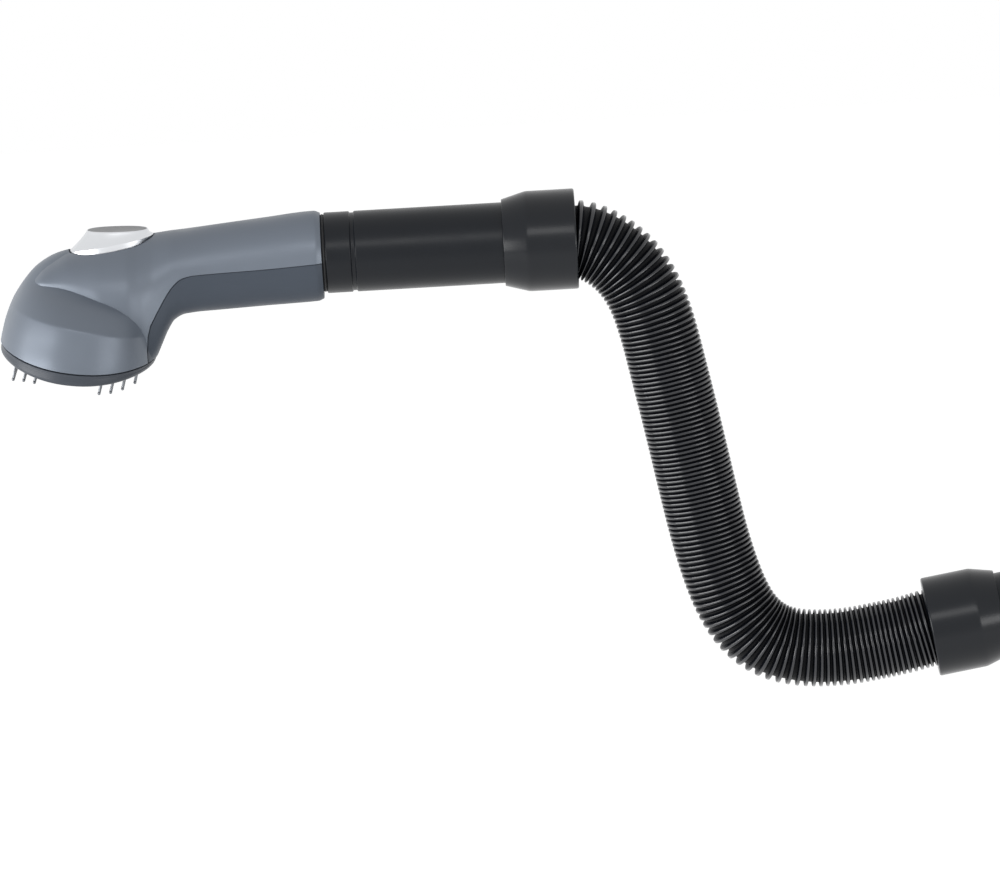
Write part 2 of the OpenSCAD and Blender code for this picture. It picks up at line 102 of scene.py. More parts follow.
# Route of the hose between the mouths of the two cuffs, in metres
HOSE_ROUTE = [(0.0695, -0.0006), (0.0755, -0.0032), (0.0815, -0.0075), (0.0865, -0.0125),
              (0.0902, -0.018), (0.0932, -0.024), (0.0956, -0.031), (0.0977, -0.039),
              (0.0996, -0.048), (0.1015, -0.058), (0.1035, -0.068), (0.1056, -0.079),
              (0.1076, -0.09), (0.1096, -0.101), (0.1116, -0.112), (0.1137, -0.123),
              (0.1162, -0.134), (0.1193, -0.145), (0.1233, -0.156), (0.1295, -0.166),
              (0.1385, -0.1728), (0.149, -0.1756), (0.16, -0.1763), (0.17, -0.176),
              (0.18, -0.1746), (0.19, -0.1731), (0.197, -0.1716)]


# ---- curves and outlines, in millimetres ----

def through(points):
    """A smooth function through (place, value) points that never overshoots them."""
    points = sorted(points)
    xs = [p[0] for p in points]
    ys = [p[1] for p in points]
    rise = [(b - a) / (d - c) for a, b, c, d in zip(ys, ys[1:], xs, xs[1:])]
    slope = [rise[0]] + [0 if a * b <= 0 else 2 * a * b / (a + b)
                         for a, b in zip(rise, rise[1:])] + [rise[-1]]

    def value(x):
        x = min(max(x, xs[0]), xs[-1])
        i = max(k for k in range(len(xs) - 1) if xs[k] <= x)
        w = xs[i + 1] - xs[i]
        t = (x - xs[i]) / w
        return ((1 + 2 * t) * (1 - t) ** 2 * ys[i] + t * (1 - t) ** 2 * w * slope[i]
                + t * t * (3 - 2 * t) * ys[i + 1] + t * t * (t - 1) * w * slope[i + 1])
    return value


def steps(low, high, step):
    """Even places from low to high, about a step apart."""
    n = max(1, round(abs(high - low) / step))
    return [low + (high - low) * k / n for k in range(n + 1)]


def oval(a, b, n, power=2.3, back_power=None):
    """A superellipse of half-axes a and b as n points, whose back half may be squarer."""
    out = []
    for k in range(n):
        c, s = math.cos(math.tau * k / n), math.sin(math.tau * k / n)
        p = back_power if back_power and c < 0 else power
        out.append((math.copysign(abs(c) ** (2 / p) * a, c),
                    math.copysign(abs(s) ** (2 / p) * b, s)))
    return out


def rocked(x, radius, low):
    """Height of a curve that rocks along the sole, at x."""
    return low + radius - math.sqrt(radius * radius - (x - ROCK_X) ** 2)


def rounded(profile, arc=5):
    """Rounds each corner of a closed profile of (radius, place, rounding) points."""
    out = []
    n = len(profile)
    for k in range(n):
        p = Vector(profile[k][:2])
        r = profile[k][2] if len(profile[k]) > 2 else 0
        if not r:
            out.append(tuple(p))
            continue
        a = Vector(profile[k - 1][:2]) - p
        b = Vector(profile[(k + 1) % n][:2]) - p
        angle = a.angle(b) / 2
        back = min(r / math.tan(angle), a.length * 0.48, b.length * 0.48)
        start, end = p + a.normalized() * back, p + b.normalized() * back
        for j in range(arc + 1):
            t = j / arc
            out.append(tuple(start * (1 - t) ** 2 + 2 * p * t * (1 - t) + end * t * t))
    return out


# ---- making and finishing pieces ----

def pick(piece):
    """Makes a piece the only one selected, and active."""
    bpy.ops.object.select_all(action="DESELECT")
    piece.select_set(True)
    bpy.context.view_layer.objects.active = piece


def mesh_piece(name, points, faces):
    """A new piece from points in millimetres."""
    mesh = bpy.data.meshes.new(name)
    mesh.from_pydata([Vector(p) * MM for p in points], [], faces)
    piece = bpy.data.objects.new(name, mesh)
    bpy.context.collection.objects.link(piece)
    return piece


def outwards(piece, merge=1e-6):
    """Merges doubles and turns all faces outwards."""
    pick(piece)
    bpy.ops.object.mode_set(mode="EDIT")
    bpy.ops.mesh.select_all(action="SELECT")
    bpy.ops.mesh.remove_doubles(threshold=merge)
    bpy.ops.mesh.normals_make_consistent(inside=False)
    bpy.ops.object.mode_set(mode="OBJECT")


def loft(name, rings, closed=False):
    """A skin through rings of points, capped at both ends, or closed round on itself."""
    n = len(rings[0])
    faces = []
    last = len(rings) if closed else len(rings) - 1
    for k in range(last):
        a, b = k * n, (k + 1) % len(rings) * n
        faces += [(a + i, a + (i + 1) % n, b + (i + 1) % n, b + i) for i in range(n)]
    if not closed:
        faces += [tuple(range(n)), tuple(last * n + i for i in range(n))]
    piece = mesh_piece(name, [p for ring in rings for p in ring], faces)
    outwards(piece)
    return piece


def turned(name, profile, sides=128):
    """A turned piece about X from a closed profile of (radius, place, rounding) points."""
    line = rounded(profile)
    piece = mesh_piece(name, [(x, r, 0) for r, x in line], [])
    pick(piece)
    bm = bmesh.new()
    bm.from_mesh(piece.data)
    bm.verts.ensure_lookup_table()
    for k in range(len(line)):
        bm.edges.new((bm.verts[k], bm.verts[(k + 1) % len(line)]))
    bm.to_mesh(piece.data)
    bm.free()
    bpy.ops.object.mode_set(mode="EDIT")
    bpy.ops.mesh.select_all(action="SELECT")
    bpy.ops.mesh.spin(steps=sides, angle=math.tau, center=(0, 0, 0), axis=(1, 0, 0))
    bpy.ops.object.mode_set(mode="OBJECT")
    outwards(piece, 2e-6)
    return piece


def block(name, outline, half_width):
    """A cutter from an outline in X and Z, extruded across the head."""
    piece = mesh_piece(name, [(x, -half_width, z) for x, z in outline], [range(len(outline))])
    pick(piece)
    bpy.ops.object.mode_set(mode="EDIT")
    bpy.ops.mesh.select_all(action="SELECT")
    bpy.ops.mesh.extrude_region_move(
        TRANSFORM_OT_translate={"value": (0, 2 * half_width * MM, 0)})
    bpy.ops.object.mode_set(mode="OBJECT")
    outwards(piece)
    return piece


def rod(name, start, end, radius, sides=96, end_radius=None):
    """A round bar from a primitive cone, between two points in millimetres."""
    start, end = Vector(start), Vector(end)
    bpy.ops.object.select_all(action="DESELECT")
    bpy.ops.mesh.primitive_cone_add(
        vertices=sides, radius1=radius * MM,
        radius2=(radius if end_radius is None else end_radius) * MM,
        depth=(end - start).length * MM)
    piece = bpy.context.object
    piece.name = name
    turn = (end - start).to_track_quat("Z", "Y").to_matrix().to_4x4()
    settle(piece, Matrix.Translation((start + end) / 2 * MM) @ turn)
    return piece


def settle(piece, matrix):
    """Puts a piece's place in its mesh and leaves its object at the origin."""
    piece.data.transform(matrix @ piece.matrix_basis)
    piece.matrix_basis = Matrix.Identity(4)
    if matrix.to_3x3().determinant() < 0:
        piece.data.flip_normals()


def in_metres(matrix):
    """The same placing for a mesh in metres."""
    out = matrix.copy()
    out.translation = matrix.translation * MM
    return out


def modify(piece, kind, **settings):
    """Adds a modifier with its settings and applies it."""
    pick(piece)
    modifier = piece.modifiers.new(kind.title(), kind)
    for key, value in settings.items():
        setattr(modifier, key, value)
    bpy.ops.object.modifier_apply(modifier=modifier.name)


def combine(piece, tool, operation="DIFFERENCE", keep=False):
    """Cuts, joins or meets a piece with another one."""
    modify(piece, "BOOLEAN", object=tool, operation=operation, solver="MANIFOLD")
    if not keep:
        bpy.data.objects.remove(tool)


def copied(piece, name):
    """A copy with a mesh of its own."""
    twin = piece.copy()
    twin.data = piece.data.copy()
    twin.name = name
    bpy.context.collection.objects.link(twin)
    return twin


def joined(pieces, name):
    """Joins pieces into one."""
    bpy.ops.object.select_all(action="DESELECT")
    for piece in pieces:
        piece.select_set(True)
    bpy.context.view_layer.objects.active = pieces[0]
    bpy.ops.object.join()
    pieces[0].name = name
    return pieces[0]


def smooth(piece, degrees=35):
    """Smooth shading that keeps edges sharper than an angle."""
    pick(piece)
    bpy.ops.object.shade_smooth_by_angle(angle=math.radians(degrees))


def dress(piece, finish, body, node):
    """Gives a finished piece its material and its body, and hides the CAD node that it stands for.
    """
    piece.data.materials.clear()
    piece.data.materials.append(finish)
    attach(piece, body)
    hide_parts(node)


def refinish(node, finish):
    """Gives a carried-over CAD node its material."""
    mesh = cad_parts[node].data
    mesh.materials.clear()
    mesh.materials.append(finish)


# ---- materials ----

def colour(code):
    """An sRGB hex code as a linear colour."""
    parts = [int(code[k:k + 2], 16) / 255 for k in (0, 2, 4)]
    return tuple(c / 12.92 if c <= 0.04045 else ((c + 0.055) / 1.055) ** 2.4 for c in parts) + (1,)


def add(tree, kind, values=None, links=None, **settings):
    """Adds a node with its settings, its values and the outputs linked to it."""
    node = tree.nodes.new(kind)
    for key, value in settings.items():
        setattr(node, key, value)
    for key, value in (values or {}).items():
        node.inputs[key].default_value = value
    for key, output in (links or {}).items():
        tree.links.new(output, node.inputs[key])
    return node


def per_mm(size):
    """Scale of a pattern on coordinates in metres whose grain is a size in millimetres."""
    return 1 / (size * MM)


def moulded(name, base, roughness, grain=0.9, bump=0.02, mottle=0.04, **shader):
    """A plastic, rubber or lacquer with a fine grain, a slight mottle and uneven gloss."""
    material = bpy.data.materials.new(name)
    material.use_nodes = True
    tree = material.node_tree
    tree.nodes.clear()
    place = add(tree, "ShaderNodeTexCoord").outputs["Object"]
    fine = add(tree, "ShaderNodeTexNoise", {"Scale": per_mm(grain), "Detail": 3, "Roughness": 0.6},
               {"Vector": place})
    broad = add(tree, "ShaderNodeTexNoise", {"Scale": per_mm(14), "Detail": 2}, {"Vector": place})
    shade = add(tree, "ShaderNodeMapRange", {"To Min": 1 - mottle, "To Max": 1 + mottle},
                {"Value": broad.outputs["Fac"]})
    tint = add(tree, "ShaderNodeMix", {"Factor": 1.0, "A": base}, {"B": shade.outputs["Result"]},
               data_type="RGBA", blend_type="MULTIPLY")
    gloss = add(tree, "ShaderNodeMapRange",
                {"From Min": 0.3, "From Max": 0.7, "To Min": roughness * 0.9,
                 "To Max": roughness * 1.12}, {"Value": broad.outputs["Fac"]})
    relief = add(tree, "ShaderNodeBump", {"Strength": bump, "Distance": 0.0004},
                 {"Height": fine.outputs["Fac"]})
    surface = add(tree, "ShaderNodeBsdfPrincipled", shader,
                  {"Base Color": tint.outputs["Result"], "Roughness": gloss.outputs["Result"],
                   "Normal": relief.outputs["Normal"]})
    add(tree, "ShaderNodeOutputMaterial", links={"Surface": surface.outputs["BSDF"]})
    return material


class DryerHead(bpy.types.PropertyGroup):
    length: FloatProperty(name="Head length", description="Length of the head along its sole",
                          default=0.0646, unit="LENGTH")
    width: FloatProperty(name="Head width", description="Width of the head across its sole",
                         default=0.088, unit="LENGTH")
    height: FloatProperty(name="Crown height", default=0.044, unit="LENGTH",
                          description="Height of the crown over the parting line")
    wall: FloatProperty(name="Shell wall", description="Wall of the moulded shells",
                        default=0.0022, unit="LENGTH")
    button_length: FloatProperty(name="Button length", default=0.0346, unit="LENGTH",
                                 description="Length of the button where it leaves the head")
    button_width: FloatProperty(name="Button width", default=0.0256, unit="LENGTH",
                                description="Width of the button where it leaves the head")


class DryerHose(bpy.types.PropertyGroup):
    diameter: FloatProperty(name="Hose diameter", description="Diameter over the ribs",
                            default=0.032, unit="LENGTH")
    rib_depth: FloatProperty(name="Rib depth", description="Depth of the groove between ribs",
                             default=0.0014, unit="LENGTH")
    closed_pitch: FloatProperty(name="Closed pitch", default=0.0019, unit="LENGTH",
                                description="Distance between ribs where the hose is closed up")
    open_pitch: FloatProperty(name="Open pitch", default=0.003, unit="LENGTH",
                              description="Distance between ribs where the hose is bent open")
    sides: IntProperty(name="Sides", description="Points round each ring of the hose",
                       default=48, min=16)


class DryerTubes(bpy.types.PropertyGroup):
    wand: FloatProperty(name="Wand diameter", description="Outside diameter of the wand tube",
                        default=0.033, unit="LENGTH")
    cuff: FloatProperty(name="Cuff diameter", description="Outside diameter of a hose cuff",
                        default=0.041, unit="LENGTH")
    plug: FloatProperty(name="Plug diameter", default=0.032, unit="LENGTH",
                        description="Diameter of the plug that goes into the machine")


def tone(name, description, code):
    """A colour property with a default given as a hex code."""
    return FloatVectorProperty(name=name, description=description, subtype="COLOR", size=4,
                               min=0, max=1, default=colour(code))


class DryerTones(bpy.types.PropertyGroup):
    shell: tone("Upper shell", "Silver-grey lacquer of the upper shell", "717984")
    lower: tone("Lower shell", "Darker grey of the lower shell", "4c535d")
    band: tone("Sole band", "Grey of the band round the sole", "454a52")
    ring: tone("Button ring", "Plating of the button's ring", "d8dadd")
    cap: tone("Button cap", "Satin top of the button", "aeafb1")
    tube: tone("Tubes", "Black of the wand and the plug", "0f1319")
    cuff: tone("Cuffs", "Black of the cuffs", "0f1319")
    hose: tone("Hose", "Black of the ribbed hose", "10131a")


# ---- operators ----

# The camera: its tilt and roll in degrees, its distance and the point it faces in metres, its lens
TILT, ROLL, DISTANCE, AIM, LENS = 10, 3.3, 3.3, (0.03047, 0, -0.0849), 289.8
# The lamps: name, place, width, height and power
LAMPS = [("Left strip", (-2.2, -0.95, -0.05), 3.0, 1.0, 60),
         ("Right strip", (1.76, -1.64, -0.05), 1.6, 0.6, 15),
         ("Front strip", (0.1, -2.0, 1.15), 1.4, 0.5, 7)]
# Strength of the surroundings as a light, and glow that brings the floor up to white
FILL, FLOOR_GLOW = 0.3, 0.83


class DRYER_OT_stage(bpy.types.Operator):
    """Adds the camera, the lamps, the white surroundings and the floor"""
    bl_idname = "dryer.stage"
    bl_label = "Stage"

    def execute(self, context):
        scene = context.scene
        scene.view_settings.view_transform = "Standard"
        tilt, roll, aim = math.radians(TILT), math.radians(ROLL), Vector(AIM)
        ahead = Vector((0, math.cos(tilt), -math.sin(tilt)))
        above = Vector((0, math.sin(tilt), math.cos(tilt)))
        right = Vector((1, 0, 0)) * math.cos(roll) - above * math.sin(roll)
        up = Vector((1, 0, 0)) * math.sin(roll) + above * math.cos(roll)
        camera = bpy.data.objects.new("Camera", bpy.data.cameras.new("Camera"))
        scene.collection.objects.link(camera)
        camera.matrix_world = Matrix.Translation(aim - ahead * DISTANCE) @ Matrix(
            (right, up, -ahead)).transposed().to_4x4()
        camera.data.lens = LENS
        camera.data.clip_end = 50
        scene.camera = camera
        for name, place, width, height, power in LAMPS:
            lamp = bpy.data.lights.new(name, "AREA")
            lamp.shape, lamp.energy = "RECTANGLE", power
            lamp.size, lamp.size_y = width, height
            light = bpy.data.objects.new(name, lamp)
            light.matrix_world = Matrix.Translation(place) @ (
                aim - Vector(place)).to_track_quat("-Z", "Y").to_matrix().to_4x4()
            scene.collection.objects.link(light)
        self.surroundings(scene)
        self.floor()
        return {"FINISHED"}

    @staticmethod
    def shown(tree):
        """One for rays from the camera, from a mirror or through glass, and nought for light."""
        path = add(tree, "ShaderNodeLightPath")
        seen = add(tree, "ShaderNodeMath", links={0: path.outputs["Is Camera Ray"],
                                                  1: path.outputs["Is Transmission Ray"]},
                   operation="MAXIMUM")
        return add(tree, "ShaderNodeMath", links={0: seen.outputs[0],
                                                  1: path.outputs["Is Glossy Ray"]},
                   operation="MAXIMUM").outputs[0]

    def surroundings(self, scene):
        """White to the eye and in reflections, and a dimmer fill for the rest of the light."""
        world = bpy.data.worlds.new("Studio")
        world.use_nodes = True
        tree = world.node_tree
        tree.nodes.clear()
        strength = add(tree, "ShaderNodeMapRange", {"To Min": FILL, "To Max": 1.0},
                       {"Value": self.shown(tree)})
        light = add(tree, "ShaderNodeBackground", {"Color": (1, 1, 1, 1)},
                    {"Strength": strength.outputs["Result"]})
        add(tree, "ShaderNodeOutputWorld", links={"Surface": light.outputs["Background"]})
        scene.world = world

    def floor(self):
        """A plane that is clear from below, so that it hides nothing from underneath."""
        bpy.ops.object.select_all(action="DESELECT")
        bpy.ops.mesh.primitive_plane_add(size=14, location=(0, 0, -0.9))
        floor = bpy.context.object
        floor.name = "Floor"
        # Matt paint that takes the soft shadow, lifted by a glow so that it meets the background
        material = bpy.data.materials.new("Pale floor")
        material.use_nodes = True
        tree = material.node_tree
        tree.nodes.clear()
        side = add(tree, "ShaderNodeNewGeometry")
        paint = add(tree, "ShaderNodeBsdfDiffuse", {"Color": (0.65, 0.65, 0.65, 1)})
        lift = add(tree, "ShaderNodeMath", {1: FLOOR_GLOW}, {0: self.shown(tree)},
                   operation="MULTIPLY")
        glow = add(tree, "ShaderNodeEmission", links={"Strength": lift.outputs[0]})
        shown = add(tree, "ShaderNodeAddShader", links={0: paint.outputs[0], 1: glow.outputs[0]})
        clear = add(tree, "ShaderNodeBsdfTransparent")
        both = add(tree, "ShaderNodeMixShader",
                   links={0: side.outputs["Backfacing"], 1: shown.outputs[0], 2: clear.outputs[0]})
        add(tree, "ShaderNodeOutputMaterial", links={"Surface": both.outputs[0]})
        floor.data.materials.append(material)


HOSE_WALL = 0.35
# A rib of the hose: distance from its crest along the hose, and share of its depth
RIB = [(-0.82, 0.95), (-0.72, 0.74), (-0.62, 0.4), (-0.52, 0.17), (-0.42, 0.085), (-0.27, 0.042),
       (-0.02, 0.011), (0.24, 0), (0.38, 0.03), (0.48, 0.12), (0.6, 0.42), (0.7, 0.74),
       (0.82, 0.95)]


class DRYER_OT_hose(bpy.types.Operator):
    """Sweeps the ribbed stretch hose along its route"""
    bl_idname = "dryer.hose"
    bl_label = "Ribbed hose"

    def execute(self, context):
        sizes = context.scene.dryer_hose
        self.line = self.centre_line()
        self.run = [0]
        for a, b in zip(self.line, self.line[1:]):
            self.run.append(self.run[-1] + (b - a).length)
        self.length = self.run[-1]
        closed, wide = sizes.closed_pitch / MM, sizes.open_pitch / MM
        tops = [closed / 2]
        while tops[-1] <= self.length - closed / 3:
            tops.append(tops[-1] + closed + (wide - closed) * self.bend(tops[-1]))
        tops.pop()
        radius, depth = sizes.diameter / MM / 2, sizes.rib_depth / MM

        def groove(s):
            """Radius of a groove, deeper where the ribs spread."""
            return radius - depth * (1 + 0.7 * self.bend(s))

        rings = [(0, groove(0), 0)]
        for k, top in enumerate(tops):
            if k:
                rings.append(((top + tops[k - 1]) / 2, groove(top), 0))
            for offset, drop in RIB:
                r = radius - (radius - groove(top)) * drop
                rings.append((top + offset, r, 1 - drop))
        rings.append((self.length, groove(self.length), 0))
        rings += [(s, groove(s) - HOSE_WALL, 0) for s in steps(self.length, 0, 4)]
        sides = sizes.sides
        points, crest = [], []
        for s, r, value in rings:
            points += self.ring(s, r, sides)
            crest += [value] * sides
        faces = []
        for k in range(len(rings)):
            a, b = k * sides, (k + 1) % len(rings) * sides
            faces += [(a + i, a + (i + 1) % sides, b + (i + 1) % sides, b + i)
                      for i in range(sides)]
        hose = mesh_piece("ribbed_hose", points, faces)
        mark = hose.data.attributes.new("crest", "FLOAT", "POINT")
        mark.data.foreach_set("value", crest)
        outwards(hose, 1e-7)
        smooth(hose, 70)
        hose.data.materials.append(self.finish(context.scene.dryer_tones.hose))
        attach(hose, "hose")
        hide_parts("hose")
        return {"FINISHED"}

    @staticmethod
    def centre_line():
        """A cubic B-spline near the route's points, straight inside both cuffs."""
        lean = Vector((math.cos(math.radians(FAR_LEAN)), 0, math.sin(math.radians(FAR_LEAN))))
        reach = 25.5
        route = [Vector((MOUTH_X - HOSE_END_AT + k * reach / 4, 0, 0)) for k in range(5)]
        route += [Vector((x / MM, 0, z / MM)) for x, z in HOSE_ROUTE]
        route += [FAR_MOUTH + lean * HOSE_END_AT * k / 4 for k in range(5)]
        ends = [2 * route[0] - route[1]] + route + [2 * route[-1] - route[-2]]

        def spot(i, t):
            """Point of one stretch of the spline."""
            a, b, c, d = ends[i:i + 4]
            return (a * (1 - t) ** 3 + b * (3 * t ** 3 - 6 * t * t + 4)
                    + c * (-3 * t ** 3 + 3 * t * t + 3 * t + 1) + d * t ** 3) / 6
        return [spot(i, k / 6) for i in range(len(route) - 1) for k in range(6)] + [
            spot(len(route) - 2, 1)]

    def at(self, s):
        """Point of the centre line at a distance along it."""
        s = min(max(s, 0), self.length)
        i = min(max(k for k in range(len(self.run)) if self.run[k] <= s), len(self.run) - 2)
        t = (s - self.run[i]) / (self.run[i + 1] - self.run[i])
        return self.line[i].lerp(self.line[i + 1], t)

    def heading(self, s):
        """Angle of the hose from level at a distance along it."""
        a, b = self.at(s - 1.5), self.at(s + 1.5)
        return math.atan2(b.z - a.z, b.x - a.x)

    def bend(self, s):
        """How far the hose is bent open, from 0 to 1 at a turn of 1.2 degrees a millimetre."""
        turn = self.heading(min(s + 5, self.length)) - self.heading(max(s - 5, 0))
        return min(abs(math.degrees(turn)) / 10 / 1.2, 1)

    def ring(self, s, r, sides):
        """Points of one round section of the hose."""
        c, h = self.at(s), self.heading(s)
        out = []
        for j in range(sides):
            u, v = r * math.cos(math.tau * j / sides), r * math.sin(math.tau * j / sides)
            out.append((c.x - u * math.sin(h), v, c.z + u * math.cos(h)))
        return out

    @staticmethod
    def finish(base):
        """Soft vinyl wound over a wire: the crests are rubbed glossy, and the grooves stay dull
        and darker, with painted shade in their colour.
        """
        # Each crest draws a thin bright line round the hose and each groove falls to near black,
        # partly from painted shade that darkens its colour
        material = bpy.data.materials.new("Ribbed vinyl")
        material.use_nodes = True
        tree = material.node_tree
        tree.nodes.clear()
        crest = add(tree, "ShaderNodeAttribute", attribute_name="crest").outputs["Fac"]
        place = add(tree, "ShaderNodeTexCoord").outputs["Object"]
        smear = add(tree, "ShaderNodeTexNoise", {"Scale": per_mm(9), "Detail": 3},
                    {"Vector": place})
        fine = add(tree, "ShaderNodeTexNoise", {"Scale": per_mm(0.8), "Detail": 2},
                   {"Vector": place})
        # Painted shade in the grooves: the base colour falls to a third of itself there and rises
        # to full at the crests, mixed by the crest mark
        groove_painted_shade = tuple(c * 0.35 for c in base[:3]) + (1,)
        tint = add(tree, "ShaderNodeMix", {"A": groove_painted_shade, "B": tuple(base)}, {"Factor": crest},
                   data_type="RGBA")
        rubbed = add(tree, "ShaderNodeMapRange", {"From Min": 0.88, "From Max": 0.96},
                     {"Value": crest})
        rough = add(tree, "ShaderNodeMapRange", {"To Min": 0.5, "To Max": 0.2}, {"Value": crest})
        worn = add(tree, "ShaderNodeMath", {1: 0.12}, {0: smear.outputs["Fac"],
                                                        2: rough.outputs["Result"]},
                   operation="MULTIPLY_ADD")
        relief = add(tree, "ShaderNodeBump", {"Strength": 0.03, "Distance": 0.0003},
                     {"Height": fine.outputs["Fac"]})
        surface = add(tree, "ShaderNodeBsdfPrincipled",
                      {"Specular IOR Level": 0.12, "Coat Roughness": 0.2},
                      {"Base Color": tint.outputs["Result"], "Roughness": worn.outputs[0],
                       "Coat Weight": rubbed.outputs["Result"],
                       "Normal": relief.outputs["Normal"]})
        add(tree, "ShaderNodeOutputMaterial", links={"Surface": surface.outputs["BSDF"]})
        return material


class DRYER_OT_shells(bpy.types.Operator):
    """Models the dome, the hood and the neck, and parts them into the two shells"""
    bl_idname = "dryer.shells"
    bl_label = "Head shells"

    def execute(self, context):
        head = context.scene.dryer_head
        tones = context.scene.dryer_tones
        self.half_length, self.height = head.length / MM / 2, head.height / MM
        self.widen = head.width / MM / DRAWN_WIDTH
        self.wall = head.wall / MM
        self.width_at = through(SHOULDER)
        levels = steps(-8, 14, 2) + steps(14.4, 21, 0.3) + steps(22, 40, 1) + [41, 42, 43, 43.6]
        outer = self.dome("head_form", 0, levels, 256)
        combine(outer, self.neck("neck", 0, 192), "UNION")
        for tool in self.hollows(head):
            combine(outer, tool)
        for boss, hole in self.bosses():
            combine(outer, boss, "UNION")
            combine(outer, hole)
        above, beneath = (self.line(shift) for shift in GROOVE_SIDES)
        seam = block("seam", above + beneath[::-1], PAST_ALL)
        core = copied(outer, "core")
        modify(core, "DISPLACE", strength=-GROOVE_DEPTH * MM, mid_level=0)
        combine(seam, core)
        combine(outer, seam)
        lower = copied(outer, "lower_shell_skin")
        outer.name = "upper_shell_skin"
        below = block("below", self.line(0) + [(-20, -50)], PAST_ALL)
        combine(outer, below, keep=True)
        combine(lower, below, "INTERSECT")
        # Fine metal flake in the lacquer: a cool grey that brightens softly towards the lamps
        lacquer = moulded("Silver-grey lacquer", tones.shell, 0.4, grain=0.7, bump=0.012,
                          mottle=0.02, **{"Metallic": 0.25, "Specular IOR Level": 0.35})
        # The same hue two steps darker, with a closed grain, so that the handle reads two-toned
        plastic = moulded("Dark grey moulding", tones.lower, 0.42, grain=0.8, bump=0.02,
                          mottle=0.02, **{"Metallic": 0.05, "Specular IOR Level": 0.15})
        for piece, finish, slot in ((outer, lacquer, "upper_shell"),
                                    (lower, plastic, "lower_shell")):
            smooth(piece, 22)
            dress(piece, finish, "head", slot)
        return {"FINISHED"}

    def dome(self, name, inset, levels, n):
        """The wide dome over the sole, lofted through level ovals."""
        rings = []
        slope, share = through(SHOULDER_SLOPE), through(LENGTHS)
        for h in levels:
            up = (h + inset / 2) * DRAWN_HEIGHT / self.height
            a = self.half_length * share(up) - inset
            b = self.width_at(up) * self.widen - inset
            rings.append([HEAD @ Vector((x, y, h + x * slope(h)))
                          for x, y in oval(max(a, 0.3), max(b, 0.3), n)])
        return loft(name, rings)

    def neck(self, name, inset, n, low=NECK[-1][0], high=NECK[0][0], step=0.6):
        """The neck and the hood that widens over the dome, lofted along the wand."""
        top, bottom, half = (through([(s[0], s[k]) for s in NECK]) for k in (1, 2, 3))
        under = through(UNDERSIDE)
        rings = []
        for x in steps(low, high, step):
            t, b = top(x), bottom(x)
            rings.append([(x, y, (t + b) / 2 + z) for z, y in
                          oval((t - b) / 2 - inset, half(x) - inset, n, 2.15, under(x))])
        return loft(name, rings)

    def hollows(self, head):
        """Cutters for the room inside, the duct, the neck's seats, the well and the sole."""
        lean = math.radians(4.9)
        start = Vector((-58, 0, -0.3))
        arc = [(x, rocked(x, PARTING_R, PARTING_LOW)) for x in steps(-44, 46, 1)]
        under = block("under", arc + [(46, -40), (-44, -40)], PAST_ALL)
        settle(under, in_metres(HEAD))
        a, b = head.button_length / MM / 2 + 0.7, head.button_width / MM / 2 + 0.7
        return [
            self.dome("room", self.wall, steps(-9, 40, 1.5), 96),
            self.neck("hood_room", self.wall + 0.2, 72, -149.5, -97.5, 1.5),
            rod("duct", start, start - Vector((math.cos(lean), 0, math.sin(lean))) * 52, 13),
            rod("bush_seat", (-36, 0, 0), (-60, 0, 0), 14.6, 128),
            rod("ring_seat", (-59.9, 0, 0), (-66, 0, 0), 14.75, 128),
            loft("well", [foot_ring(a, b, along, 96) for along in (-18, 10)]),
            under]

    def bosses(self):
        """Four screw bosses under the roof, each with the cutter of its hole."""
        out = []
        for x in (-10.8, 0.2):
            for y in (-34.5, 34.5):
                boss = rod("boss", HEAD @ Vector((x, y, 0.7)), HEAD @ Vector((x, y, 28.7)),
                           3.2, 32)
                combine(boss, self.dome("roof", 1, steps(-8, 40, 2), 72), "INTERSECT")
                out.append((boss, rod("hole", HEAD @ Vector((x, y, -6)), HEAD @ Vector((x, y, 11)),
                                      1.4, 24)))
        return out

    @staticmethod
    def line(shift):
        """The shell line, shifted towards the lower shell."""
        height = through(SHELL_LINE[:-3])
        points = [(x, height(x)) for x in steps(-20, -108.3, 1)] + SHELL_LINE[-3:]
        return [(x + shift, z - shift) for x, z in points]


def tilted(centre, degrees):
    """Placing of a plane that is turned about Y."""
    return Matrix.Translation(centre) @ Matrix.Rotation(math.radians(degrees), 4, "Y")


PINS_UP = HEAD.to_3x3() @ Vector((0, 0, 1))
FOOT = tilted((-122.8, 0, 9.7), -8)
TOP = tilted((-120.2, 0, 14.8), 1.6)


def foot_ring(a, b, along, n):
    """Oval of the button's foot, moved along the pins' direction."""
    return [FOOT @ Vector((x, y, 0)) + PINS_UP * along for x, y in oval(a, b, n)]


def top_ring(a, b, down, n):
    """Oval in the plane of the button's top."""
    return [TOP @ Vector((x, y, -down)) for x, y in oval(a, b, n)]


